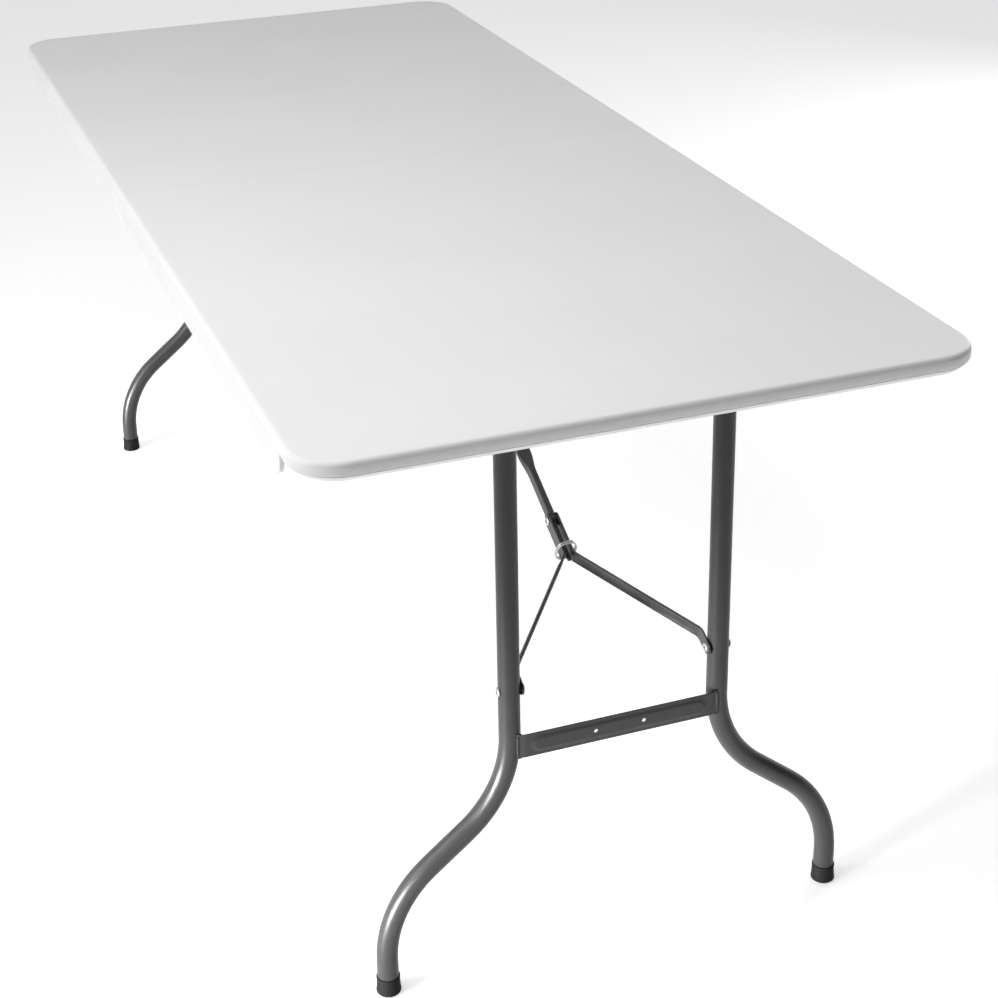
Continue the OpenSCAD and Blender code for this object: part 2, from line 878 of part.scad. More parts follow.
module near_top_skin() color(shell_col) top_skin(true);
module near_under_skin() color(shell_col) under_skin();
module near_rail_left() color(steel_col) mirror([1, 0, 0]) rail();
module near_rail_right() color(steel_col) rail();
module near_brace_bar() color(steel_col) brace_bar();
module near_arm_bracket() color(steel_col) arm_bracket();
module near_arm_pin() color(zinc_col) arm_pin();
module near_frame_screws() color(zinc_col) frame_screws();
module near_hinge_clevises() color(steel_col) hinge_clevises();
module hinge_pins() color(zinc_col) both_sides() hinge_pin();
module handle_clips() color(rubber_col) handle_clip_pair();
module carry_handle() color(rubber_col) handle();
module latch_mount() color(zinc_col) latch_base();
module latch_hook() color(zinc_col) latch_hook_part();
module near_leg_left() color(steel_col) mirror([1, 0, 0]) leg();
module near_leg_right() color(steel_col) leg();
module near_leg_axle() color(steel_col) leg_axle();
module near_axle_caps() color(zinc_col) axle_caps();
module near_leg_crossbar() color(steel_col) leg_crossbar();
module near_leg_rivets() color(zinc_col) leg_rivets();
module near_foot_left() color(rubber_col) mirror([1, 0, 0]) foot();
module near_foot_right() color(rubber_col) foot();
module near_fork_left() color(steel_col) mirror([1, 0, 0]) fork_strip();
module near_fork_right() color(steel_col) fork_strip();
module near_fork_rivets() color(zinc_col) fork_rivets();
module near_elbow_pin() color(zinc_col) elbow_pin();
module near_brace_arm() color(steel_col) brace_arm();
module near_lock_ring() color(zinc_col) lock_ring();

module far_top_skin() color(shell_col) far() top_skin(false);
module far_under_skin() color(shell_col) far() under_skin();
module far_rail_left() color(steel_col) far() mirror([1, 0, 0]) rail();
module far_rail_right() color(steel_col) far() rail();
module far_brace_bar() color(steel_col) far() brace_bar();
module far_arm_bracket() color(steel_col) far() arm_bracket();
module far_arm_pin() color(zinc_col) far() arm_pin();
module far_frame_screws() color(zinc_col) far() frame_screws();
module far_hinge_tongues() color(steel_col) far() hinge_tongues();
module latch_stud() color(zinc_col) latch_stud_part();
module far_leg_left() color(steel_col) far() mirror([1, 0, 0]) leg();
module far_leg_right() color(steel_col) far() leg();
module far_leg_axle() color(steel_col) far() leg_axle();
module far_axle_caps() color(zinc_col) far() axle_caps();
module far_leg_crossbar() color(steel_col) far() leg_crossbar();
module far_leg_rivets() color(zinc_col) far() leg_rivets();
module far_foot_left() color(rubber_col) far() mirror([1, 0, 0]) foot();
module far_foot_right() color(rubber_col) far() foot();
module far_fork_left() color(steel_col) far() mirror([1, 0, 0]) fork_strip();
module far_fork_right() color(steel_col) far() fork_strip();
module far_fork_rivets() color(zinc_col) far() fork_rivets();
module far_elbow_pin() color(zinc_col) far() elbow_pin();
module far_brace_arm() color(steel_col) far() brace_arm();
module far_lock_ring() color(zinc_col) far() lock_ring();

near_top_skin();
near_under_skin();
near_rail_left();
near_rail_right();
near_brace_bar();
near_arm_bracket();
near_arm_pin();
near_frame_screws();
near_hinge_clevises();
hinge_pins();
handle_clips();
carry_handle();
latch_mount();
latch_hook();
near_leg_left();
near_leg_right();
near_leg_axle();
near_axle_caps();
near_leg_crossbar();
near_leg_rivets();
near_foot_left();
near_foot_right();
near_fork_left();
near_fork_right();
near_fork_rivets();
near_elbow_pin();
near_brace_arm();
near_lock_ring();
far_top_skin();
far_under_skin();
far_rail_left();
far_rail_right();
far_brace_bar();
far_arm_bracket();
far_arm_pin();
far_frame_screws();
far_hinge_tongues();
latch_stud();
far_leg_left();
far_leg_right();
far_leg_axle();
far_axle_caps();
far_leg_crossbar();
far_leg_rivets();
far_foot_left();
far_foot_right();
far_fork_left();
far_fork_right();
far_fork_rivets();
far_elbow_pin();
far_brace_arm();
far_lock_ring();
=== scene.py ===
import json
import math
import bpy
import bmesh
from mathutils import Matrix, Vector


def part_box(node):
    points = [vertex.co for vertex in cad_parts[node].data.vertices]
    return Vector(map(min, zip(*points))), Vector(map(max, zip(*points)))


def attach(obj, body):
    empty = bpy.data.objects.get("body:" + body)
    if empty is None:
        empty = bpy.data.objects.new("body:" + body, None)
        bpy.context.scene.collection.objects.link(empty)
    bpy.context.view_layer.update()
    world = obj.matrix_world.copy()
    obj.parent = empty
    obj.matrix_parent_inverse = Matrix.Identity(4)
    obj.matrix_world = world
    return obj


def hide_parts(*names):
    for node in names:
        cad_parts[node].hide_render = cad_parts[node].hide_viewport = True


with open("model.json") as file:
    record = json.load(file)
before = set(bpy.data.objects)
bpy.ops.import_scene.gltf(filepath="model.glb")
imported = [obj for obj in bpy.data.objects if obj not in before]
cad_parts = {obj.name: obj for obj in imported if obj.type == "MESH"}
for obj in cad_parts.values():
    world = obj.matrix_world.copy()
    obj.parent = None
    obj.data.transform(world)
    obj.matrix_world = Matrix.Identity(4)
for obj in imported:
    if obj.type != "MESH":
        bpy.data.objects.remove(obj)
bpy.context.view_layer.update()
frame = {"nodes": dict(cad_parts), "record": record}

NODES = frame["nodes"]


# ---------------------------------------------------------------- materials

def node(tree, kind, inputs):
    """A shader node with constants on its sockets."""
    n = tree.nodes.new(kind)
    for key, value in inputs.items():
        n.inputs[key].default_value = value
    return n


def new_material(name):
    """A material with a Principled shader, and the object's own coordinates to place it by."""
    mat = bpy.data.materials.new(name)
    mat.use_nodes = True
    tree = mat.node_tree
    tree.nodes.clear()
    out = tree.nodes.new("ShaderNodeOutputMaterial")
    bsdf = tree.nodes.new("ShaderNodeBsdfPrincipled")
    tree.links.new(bsdf.outputs["BSDF"], out.inputs["Surface"])
    where = tree.nodes.new("ShaderNodeTexCoord")
    return mat, tree, bsdf, where.outputs["Object"]


def ramp(tree, source, stops):
    """A colour ramp between two stops, each (position, colour)."""
    r = tree.nodes.new("ShaderNodeValToRGB")
    for element, (position, color) in zip(r.color_ramp.elements, stops):
        element.position = position
        element.color = color
    tree.links.new(source, r.inputs["Fac"])
    return r.outputs["Color"]


def noise(tree, where, scale, detail=3.0, rough=0.5):
    n = node(tree, "ShaderNodeTexNoise", {"Scale": scale, "Detail": detail, "Roughness": rough})
    tree.links.new(where, n.inputs["Vector"])
    return n.outputs["Fac"]


def span(tree, source, low, high):
    """Maps a value of 0 to 1 onto low to high."""
    m = node(tree, "ShaderNodeMapRange", {"To Min": low, "To Max": high})
    tree.links.new(source, m.inputs["Value"])
    return m.outputs["Result"]


def bump(tree, bsdf, layers):
    """Stacks height layers (source, strength, distance in metres) into the normal."""
    last = None
    for source, strength, distance in layers:
        b = node(tree, "ShaderNodeBump", {"Strength": strength, "Distance": distance})
        tree.links.new(source, b.inputs["Height"])
        if last:
            tree.links.new(last, b.inputs["Normal"])
        last = b.outputs["Normal"]
    tree.links.new(last, bsdf.inputs["Normal"])


def grey(v, warm=0.0):
    """A grey, with its red raised and its blue lowered by the share warm."""
    return (v * (1 + warm), v, v * (1 - warm), 1)


def moulded_white():
    """White polyethylene with a fine pebble grain and faint cloudiness."""
    mat, tree, bsdf, where = new_material("moulded_white")
    cloud = noise(tree, where, 5.0, 4.0, 0.55)
    tree.links.new(
        ramp(tree, cloud, [(0.25, grey(0.735, 0.003)), (0.75, grey(0.765))]),
        bsdf.inputs["Base Color"],
    )
    patch = noise(tree, where, 38.0, 3.0, 0.6)
    tree.links.new(span(tree, patch, 0.40, 0.50), bsdf.inputs["Roughness"])
    cell = node(tree, "ShaderNodeTexVoronoi", {"Scale": 620.0, "Randomness": 1.0})
    tree.links.new(where, cell.inputs["Vector"])
    bump(tree, bsdf, [
        (noise(tree, where, 26.0, 2.0, 0.5), 0.10, 0.0004),
        (cell.outputs["Distance"], 0.22, 0.00025),
        (noise(tree, where, 900.0, 2.0, 0.6), 0.12, 0.00015),
    ])
    bsdf.inputs["IOR"].default_value = 1.5
    return mat


def powder_coat():
    """Satin dark grey powder coat with orange peel."""
    mat, tree, bsdf, where = new_material("powder_coat")
    value = 0.027
    drift = noise(tree, where, 14.0, 4.0, 0.6)
    tree.links.new(
        ramp(tree, drift, [(0.3, grey(value * 0.88)), (0.7, grey(value * 1.12))]),
        bsdf.inputs["Base Color"],
    )
    peel = noise(tree, where, 420.0, 2.0, 0.5)
    sheen = noise(tree, where, 60.0, 3.0, 0.6)
    tree.links.new(span(tree, sheen, 0.30, 0.42), bsdf.inputs["Roughness"])
    grit = noise(tree, where, 1500.0, 1.0, 0.5)
    bump(tree, bsdf, [(peel, 0.22, 0.0003), (grit, 0.08, 0.0001)])
    bsdf.inputs["IOR"].default_value = 1.42
    return mat


def zinc_plate():
    """Zinc plate: metallic, slightly streaked."""
    mat, tree, bsdf, where = new_material("zinc_plate")
    streak = noise(tree, where, 90.0, 5.0, 0.65)
    tree.links.new(
        ramp(tree, streak, [(0.2, (0.40, 0.405, 0.42, 1)), (0.8, (0.62, 0.62, 0.62, 1))]),
        bsdf.inputs["Base Color"],
    )
    haze = noise(tree, where, 700.0, 3.0, 0.6)
    tree.links.new(span(tree, haze, 0.22, 0.42), bsdf.inputs["Roughness"])
    bump(tree, bsdf, [(noise(tree, where, 1400.0, 2.0, 0.5), 0.10, 0.0001)])
    bsdf.inputs["Metallic"].default_value = 1.0
    return mat


def black_moulding(name, value, roughness, grain, shine=0.5):
    """Black rubber or plastic. The grain is a noise scale, the shine a specular level."""
    mat, tree, bsdf, where = new_material(name)
    drift = noise(tree, where, 45.0, 4.0, 0.6)
    tree.links.new(
        ramp(tree, drift, [(0.3, grey(value * 0.8)), (0.7, grey(value * 1.3))]),
        bsdf.inputs["Base Color"],
    )
    tree.links.new(
        span(tree, noise(tree, where, 160.0, 3.0, 0.6), roughness - 0.06, roughness + 0.08),
        bsdf.inputs["Roughness"],
    )
    bump(tree, bsdf, [(noise(tree, where, grain, 2.0, 0.6), 0.25, 0.00025)])
    bsdf.inputs["Specular IOR Level"].default_value = shine
    return mat


WHITE = moulded_white()
COAT = powder_coat()
ZINC = zinc_plate()
RUBBER = black_moulding("foot_rubber", 0.008, 0.70, 900.0, shine=0.15)
BLACK = black_moulding("black_plastic", 0.022, 0.42, 1200.0)
FINISH = {"shell": WHITE, "frame": COAT, "zinc": ZINC, "rubber": RUBBER, "black_plastic": BLACK}

SLOT_OF = {s["node"]: s["material_slot"] for s in frame["record"]["subparts"]}
for name, obj in NODES.items():
    obj.data.materials.clear()
    obj.data.materials.append(FINISH[SLOT_OF[name]])


# ---------------------------------------------------------------- mesh helpers

MM = 0.001
X, Y, Z = Vector((1, 0, 0)), Vector((0, 1, 0)), Vector((0, 0, 1))
SHANK_R = 3 * MM      # every rivet and pin of the frame, the brace and the latch
CLEAR = 0.3 * MM      # between pieces that turn on each other
JOINTS = {j["name"]: j for j in frame["record"]["behaviour"]["joints"]}


def joint_place(name):
    """Where the record puts a joint."""
    return Vector(JOINTS[name]["pos_m"])


def box_of(name):
    """The corners of a node's box."""
    low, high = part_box(name)
    return Vector(low), Vector(high)


def mirror(bm, axis):
    """Mirrors across the plane at zero along the axis, with the faces turned back out."""
    scale = [1, 1, 1]
    scale[axis] = -1
    bmesh.ops.scale(bm, vec=scale, verts=bm.verts)
    bmesh.ops.reverse_faces(bm, faces=bm.faces)


def add_piece(name, bm, body, slot, nodes=(), smooth=35):
    """Turns a mesh that is drawn for the near half into a piece, mirrored for the far half."""
    if name.startswith("far"):
        mirror(bm, 1)
    bmesh.ops.recalc_face_normals(bm, faces=bm.faces)
    mesh = bpy.data.meshes.new(name)
    bm.to_mesh(mesh)
    bm.free()
    mesh.polygons.foreach_set("use_smooth", [True] * len(mesh.polygons))
    mesh.set_sharp_from_angle(angle=math.radians(smooth))
    mesh.materials.append(FINISH[slot])
    piece = bpy.data.objects.new(name, mesh)
    bpy.context.scene.collection.objects.link(piece)
    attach(piece, body)
    if nodes:
        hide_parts(*nodes)


def loft(bm, rings):
    """Joins rings of points, all of one length, and caps the two ends."""
    rows = [[bm.verts.new(p) for p in ring] for ring in rings]
    for a, b in zip(rows, rows[1:]):
        for i in range(len(a)):
            j = (i + 1) % len(a)
            bm.faces.new((a[i], a[j], b[j], b[i]))
    bm.faces.new(rows[0])
    bm.faces.new(list(reversed(rows[-1])))


def circle(centre, radius, side, other, segments):
    """Points on a circle in the plane of two directions."""
    turns = (2 * math.pi * k / segments for k in range(segments))
    return [centre + radius * (math.cos(a) * side + math.sin(a) * other) for a in turns]


def lathe(bm, start, along, profile, segments=40):
    """Turns a profile of (distance along, radius) about an axis."""
    least = 0.02 * MM   # keeps the points on the axis apart
    along = along.normalized()
    side = along.cross(Z if abs(along.z) < 0.9 else X).normalized()
    other = along.cross(side)
    rings = []
    for distance, radius in profile:
        centre = start + along * distance
        rings.append(circle(centre, max(radius, least), side, other, segments))
    loft(bm, rings)


def tube(bm, points, radius, up, segments=12):
    """A round bar along points. The radius is a function of the share of the way, 0 to 1."""
    rings = []
    last = len(points) - 1
    for i, p in enumerate(points):
        ahead = (points[min(i + 1, last)] - points[max(i - 1, 0)]).normalized()
        side = ahead.cross(up).normalized()
        other = side.cross(ahead)
        rings.append(circle(p, radius(i / last), side, other, segments))
    loft(bm, rings)


def rounded(corners, radius, steps=6):
    """A path through corners, with each inner corner turned into an arc."""
    path = [corners[0]]
    for a, b, c in zip(corners, corners[1:], corners[2:]):
        back, on = (a - b).normalized(), (c - b).normalized()
        half = back.angle(on) / 2
        reach = radius / math.tan(half)
        middle = b + (back + on).normalized() * (radius / math.sin(half))
        start, end = (b + side * reach - middle for side in (back, on))
        for i in range(steps + 1):
            path.append(middle + radius * start.normalized().slerp(end.normalized(), i / steps))
    path.append(corners[-1])
    return path


def arc(cy, cz, r, start, end, steps=10):
    """Points (y, z) on a circle, angles in degrees."""
    angles = (math.radians(start + (end - start) * i / steps) for i in range(steps + 1))
    return [(cy + r * math.cos(a), cz + r * math.sin(a)) for a in angles]


def round_edges(bm, edges, radius):
    bmesh.ops.bevel(
        bm, geom=edges, offset=radius, segments=3, profile=0.5,
        affect="EDGES", clamp_overlap=True,
    )


def plate(bm, outline, x0, x1, edge):
    """A flat plate across X with its outline in Y and Z and with rounded edges."""
    rows = [[bm.verts.new((x, y, z)) for y, z in outline] for x in (x0, x1)]
    faces = [bm.faces.new(rows[0]), bm.faces.new(list(reversed(rows[1])))]
    rims = list(faces[0].edges) + list(faces[1].edges)
    for i in range(len(outline)):
        j = (i + 1) % len(outline)
        faces.append(bm.faces.new((rows[0][j], rows[0][i], rows[1][i], rows[1][j])))
    round_edges(bm, rims, edge)


def block(bm, low, high, edge):
    """A box between two corners, with rounded edges."""
    made = bmesh.ops.create_cube(bm, size=1.0)["verts"]
    for v in made:
        v.co = Vector(low[i] if v.co[i] < 0 else high[i] for i in range(3))
    # each edge once, in the order of the corners
    round_edges(bm, list(dict.fromkeys(e for v in made for e in v.link_edges)), edge)


def smoothstep(low, high, v):
    """0 below low, 1 above high, and smooth between them."""
    t = min(max((v - low) / (high - low), 0.0), 1.0)
    return t * t * (3 - 2 * t)


def sheet_ring(place, half, thick, raised, steps=18):
    """Section of a pressed strip: place(a, b) puts width a and height b into space."""
    edge = 0.3 * thick
    across = [-1 + 2 * i / steps for i in range(steps + 1)]
    inner = max(half - edge, 0.2 * half)
    front = [place(inner * t, thick / 2 + raised(inner * t)) for t in across]
    back = [place(inner * t, -thick / 2 + raised(inner * t)) for t in reversed(across)]
    rim = raised(half)
    right = [place(half, rim + thick / 2 - edge), place(half, rim - thick / 2 + edge)]
    left = [place(-half, rim - thick / 2 + edge), place(-half, rim + thick / 2 - edge)]
    return front + right + back + left


def domed_head(radius, height):
    """Profile of a rivet head from its seat outwards, with a deep punched centre."""
    steps = 7
    rim = 0.25 * height
    crown = 0.42 * radius
    profile = [(0, radius * 0.96), (0.4 * rim, radius)]
    for i in range(steps + 1):
        a = math.radians(90 * i / steps)
        profile.append((rim + (height - rim) * math.sin(a), crown + (radius - crown) * math.cos(a)))
    punch = [(0.9 * height, 0.36 * radius), (0.2 * height, 0.3 * radius), (0.15 * height, 0)]
    return profile + punch


def rivet(bm, seat, along, shank_r, shank_l, head_r, head_h):
    """A shank that runs back from the seat, and a domed head in front of it."""
    profile = [(-shank_l, 0), (-shank_l, shank_r), (0, shank_r)]
    lathe(bm, seat, along, profile + domed_head(head_r, head_h))


# ---------------------------------------------------------------- the top

TOP_LOW, TOP_HIGH = box_of("near_top_skin")
HALF_W = TOP_HIGH.x
END_Y = TOP_LOW.y
SEAM_Y = TOP_HIGH.y + 0.35 * MM   # the halves all but touch, so the seam hardly shows
TOP_Z = TOP_HIGH.z
SKIRT_Z = TOP_LOW.z
UNDER_Z = box_of("near_under_skin")[0].z
CORNER_R = 55 * MM
EDGE_ROUND = 6 * MM
EDGE_WALL = 14.4 * MM       # height of the upright part of the edge, with its rounding
PLATE_T = 3.5 * MM
SKIN_T = 3 * MM
LIP = 4.4 * MM              # flat strip under the edge
SKIRT_T = 5 * MM
SKIRT_SETBACK = 72 * MM     # from the end of the table to the skirt


def edge_profile():
    """Section of the edge as (inset, height), from the plate's top round to its underside."""
    foot = TOP_Z - EDGE_WALL
    cham = foot - UNDER_Z
    margin, steps = 4 * MM, 8
    arris, groove = 1.2 * MM, 2 * MM
    flat = CORNER_R - margin
    inside = UNDER_Z + SKIN_T
    points = [(flat, TOP_Z), (EDGE_ROUND + margin, TOP_Z)]
    for i in range(steps + 1):
        a = math.radians(90 * i / steps)
        points.append((EDGE_ROUND * (1 - math.sin(a)), TOP_Z - EDGE_ROUND * (1 - math.cos(a))))
    # the parting groove between the wall and the chamfer below it
    points += [(0, foot + 0.7 * arris), (0.3 * arris, foot + 0.1 * arris), (groove, foot)]
    points += [(groove, foot - arris), (groove * 0.8, foot - 1.4 * arris)]
    # the chamfer's rounded lower edge, and the lip
    points += [(cham - arris, UNDER_Z + 0.8 * arris), (cham, UNDER_Z + 0.2 * arris)]
    points += [(cham + arris, UNDER_Z), (cham + LIP, UNDER_Z)]
    # back up inside
    points += [(cham + LIP, inside), (cham + SKIN_T / 2, inside), (SKIN_T, foot + SKIN_T / 2)]
    points += [(SKIN_T, TOP_Z - PLATE_T), (flat, TOP_Z - PLATE_T)]
    return points


def rim_path():
    """Places on the rim as (point, outward direction), from the seam round the end and back."""
    cx, cy = HALF_W - CORNER_R, END_Y + CORNER_R
    side_steps, corner_steps, end_steps = 6, 20, 4
    side = [SEAM_Y + (cy - SEAM_Y) * i / side_steps for i in range(side_steps + 1)]
    end = [cx * t / end_steps for t in range(-end_steps, end_steps + 1)]
    path = [(Vector((-HALF_W, y, 0)), -X) for y in side]
    for sign, start in ((-1, 180), (1, 270)):
        for i in range(1, corner_steps):
            a = math.radians(start + 90 * i / corner_steps)
            out = Vector((math.cos(a), math.sin(a), 0))
            path.append((Vector((sign * cx, cy, 0)) + CORNER_R * out, out))
        if sign < 0:
            path += [(Vector((x, END_Y, 0)), -Y) for x in end]
    return path + [(Vector((HALF_W, y, 0)), X) for y in reversed(side)]


def skirt_outline(slot):
    """Side view of a skirt, with a notch for the carry handle to swing through if asked."""
    y0 = END_Y + SKIRT_SETBACK
    end_r = 15 * MM
    top = TOP_Z - EDGE_ROUND - 1.5 * MM
    points = [(SEAM_Y, SKIRT_Z), (SEAM_Y, top), (y0, top)]
    points += arc(y0 + end_r, SKIRT_Z + end_r, end_r, 180, 270)
    if slot:
        low, high = box_of("carry_handle")
        gap, fillet = 4 * MM, 3 * MM
        y_in, y_out = low.y - gap, high.y + gap
        points += [(y_in, SKIRT_Z)] + arc(y_in + fillet, UNDER_Z - fillet, fillet, 180, 90, 4)
        points += arc(y_out - fillet, UNDER_Z - fillet, fillet, 90, 0, 4) + [(y_out, SKIRT_Z)]
    return points


def make_top(side):
    """The upper skin of one half: the plate and its edge, the seam wall and the two skirts."""
    bm = bmesh.new()
    rings = [
        [p - out * inset + Z * height for inset, height in edge_profile()]
        for p, out in rim_path()
    ]
    rows = [[bm.verts.new(p) for p in ring] for ring in rings]
    last = len(rows[0]) - 1
    for a, b in zip(rows, rows[1:]):
        for i in range(last):
            bm.faces.new((a[i], a[i + 1], b[i + 1], b[i]))
    bm.faces.new([row[0] for row in rows])
    bm.faces.new([row[last] for row in reversed(rows)])
    bm.faces.new(rows[0] + list(reversed(rows[-1])))
    wall, below = HALF_W - SKIN_T, 0.5 * MM
    block(bm, (-wall, SEAM_Y - SKIN_T, UNDER_Z), (wall, SEAM_Y, TOP_Z - below), 0.4 * MM)
    hair = 0.05 * MM   # keeps a skirt's face off the edge's own face
    for sign in (-1, 1):
        faces = sorted((sign * (HALF_W - SKIRT_T), sign * (HALF_W - hair)))
        plate(bm, skirt_outline(side == "near" and sign > 0), *faces, 0.9 * MM)
    add_piece(side + "_top", bm, side + "_half", "shell", [side + "_top_skin"], 32)


# ---------------------------------------------------------------- frame under the top

def make_rails(side):
    """Rolled channels with round bends, open towards the middle of the table."""
    low, high = box_of("near_rail_right")
    thick, bend, steps = 1.5 * MM, 2.6 * MM, 5
    small = bend - thick
    section = [(low.x, high.z)] + arc(high.x - bend, high.z - bend, bend, 90, 0, steps)
    section += arc(high.x - bend, low.z + bend, bend, 0, -90, steps) + [(low.x, low.z)]
    section += [(low.x, low.z + thick)] + arc(high.x - bend, low.z + bend, small, -90, 0, steps)
    section += arc(high.x - bend, high.z - bend, small, 0, 90, steps) + [(low.x, high.z - thick)]
    for hand, sign in (("left", -1), ("right", 1)):
        bm = bmesh.new()
        loft(bm, [[Vector((sign * x, y, z)) for x, z in section] for y in (low.y, high.y)])
        name, replaced = side + "_rail_channel_" + hand, side + "_rail_" + hand
        add_piece(name, bm, side + "_half", "frame", [replaced], 40)


def make_screws(side):
    """Pan-head screws that hold the rails, each with a cross recess."""
    low, high = box_of("near_frame_screws")
    r, head_h, crown_h, recess_h = 4 * MM, 2 * MM, 0.7 * MM, 0.9 * MM
    count, segments = 6, 32
    hub, half_spoke = 0.25, 0.5   # the share of the radius that is all recess, and a sine
    face = ((0.02, 1), (0.2, 1), (0.26, 0.9), (0.55, 0.9), (0.62, 0), (0.8, 0), (0.93, 0))
    back = ((1, recess_h), (1, head_h), (0.5, head_h), (0.5, high.z - low.z))
    turns = [2 * math.pi * i / segments for i in range(segments)]

    def face_height(t, depth, a):
        spoke = abs(math.sin(2 * a)) < half_spoke or t < hub
        return (recess_h * depth if spoke else 0) + crown_h * t ** 3

    def at(centre, t, a, z):
        return centre + Vector((t * r * math.cos(a), t * r * math.sin(a), z))

    bm = bmesh.new()
    for sign in (-1, 1):
        for k in range(count):
            y = low.y + r + (high.y - low.y - 2 * r) * k / (count - 1)
            centre = Vector((sign * (high.x - r), y, low.z))
            rings = [
                [at(centre, t, a, face_height(t, depth, a)) for a in turns] for t, depth in face
            ]
            rings += [[at(centre, t, a, z) for a in turns] for t, z in back]
            loft(bm, rings)
    add_piece(side + "_pan_screws", bm, side + "_half", "zinc", [side + "_frame_screws"], 50)


def make_brace_mount(side):
    """Cross bar, the bracket that the arm hangs from, and the bracket's pin."""
    low, high = box_of("near_brace_bar")
    edge, ear_edge, bead_l = 0.6 * MM, 0.4 * MM, 14 * MM
    bm = bmesh.new()
    block(bm, low, high, edge)
    for sign in (-1, 1):
        for y in (low.y, high.y):
            end = Vector((sign * high.x, y, low.z))
            weld(bm, end, end - sign * X * bead_l)
    add_piece(side + "_cross_bar", bm, side + "_half", "frame", [side + "_brace_bar"])

    pin = joint_place("near_arm_turn")
    low, high = box_of("near_arm_bracket")
    thick = 2 * MM
    ear_r, ear_top = pin.z - low.z, high.z - thick
    ear = arc(pin.y, pin.z, ear_r, 180, 360, 16)
    ear += [(pin.y + ear_r, ear_top), (pin.y - ear_r, ear_top)]
    bm = bmesh.new()
    block(bm, (low.x, low.y, ear_top), high, edge)
    plate(bm, ear, low.x, low.x + thick, ear_edge)
    plate(bm, ear, high.x - thick, high.x, ear_edge)
    add_piece(side + "_bracket", bm, side + "_half", "frame", [side + "_arm_bracket"])

    low, high = box_of("near_arm_pin")
    head_h = 1.5 * MM
    bm = bmesh.new()
    for sign in (-1, 1):
        seat = Vector((sign * (high.x - head_h), pin.y, pin.z))
        rivet(bm, seat, sign * X, SHANK_R, abs(seat.x), pin.z - low.z, head_h)
    add_piece(side + "_bracket_pin", bm, side + "_half", "zinc", [side + "_arm_pin"])


# ---------------------------------------------------------------- centre hinge

HINGE_Z = SKIRT_Z + 1.5 * MM   # lower edge of the leaves


def hinge_outline(y0, top):
    """Side view of a hinge leaf: a plate along the rail with a knuckle below the seam."""
    pivot = joint_place("tabletop_fold")
    knuckle, back, front, neck, rise = 8 * MM, -4 * MM, 3 * MM, -14 * MM, 1 * MM
    points = [(y0, HINGE_Z), (y0, top), (back, top), (front, HINGE_Z)]
    return points + arc(0, pivot.z, knuckle, 10, -190, 20) + [(neck, HINGE_Z + rise)]


def make_hinges():
    """At each side a clevis of two leaves, a tongue between them, and a pin with two heads."""
    low, high = box_of("near_hinge_clevises")
    outline = hinge_outline(low.y, high.z)
    body_y = box_of("near_rail_right")[1].y - 6 * MM
    ear, gap, edge = 2.5 * MM, CLEAR, 0.4 * MM
    tongue = high.x - ear - gap
    near, far = bmesh.new(), bmesh.new()
    for sign in (-1, 1):
        for x in (high.x - ear, high.x - 3 * ear - 2 * gap):
            plate(near, outline, *sorted((sign * x, sign * (x + ear))), edge)
        plate(far, outline, *sorted((sign * (tongue - ear), sign * tongue)), edge)
        for bm, inner in ((near, high.x - 2 * ear - 2 * gap), (far, tongue)):
            outer = high.x - ear if bm is near else high.x
            xs = sorted((sign * inner, sign * outer))
            block(bm, (xs[0], low.y, HINGE_Z), (xs[1], body_y, high.z), 0.3 * MM)
    add_piece("near_hinge_leaves", near, "near_half", "frame", ["near_hinge_clevises"])
    add_piece("far_hinge_leaves", far, "far_half", "frame", ["far_hinge_tongues"])

    low, high = box_of("hinge_pins")
    pivot = joint_place("tabletop_fold")
    pin_r, head_r, head_h = 4 * MM, 6 * MM, 2 * MM
    depth = 3 * ear + 2 * gap
    bm = bmesh.new()
    for sign in (-1, 1):
        outer = Vector((sign * (high.x - head_h), 0, pivot.z))
        inner = outer - sign * X * depth
        rivet(bm, outer, sign * X, pin_r, depth / 2, head_r, head_h)
        rivet(bm, inner, -sign * X, pin_r, depth / 2, head_r, head_h)
    add_piece("near_hinge_rivets", bm, "near_half", "zinc", ["hinge_pins"])


# ---------------------------------------------------------------- carry handle and latch

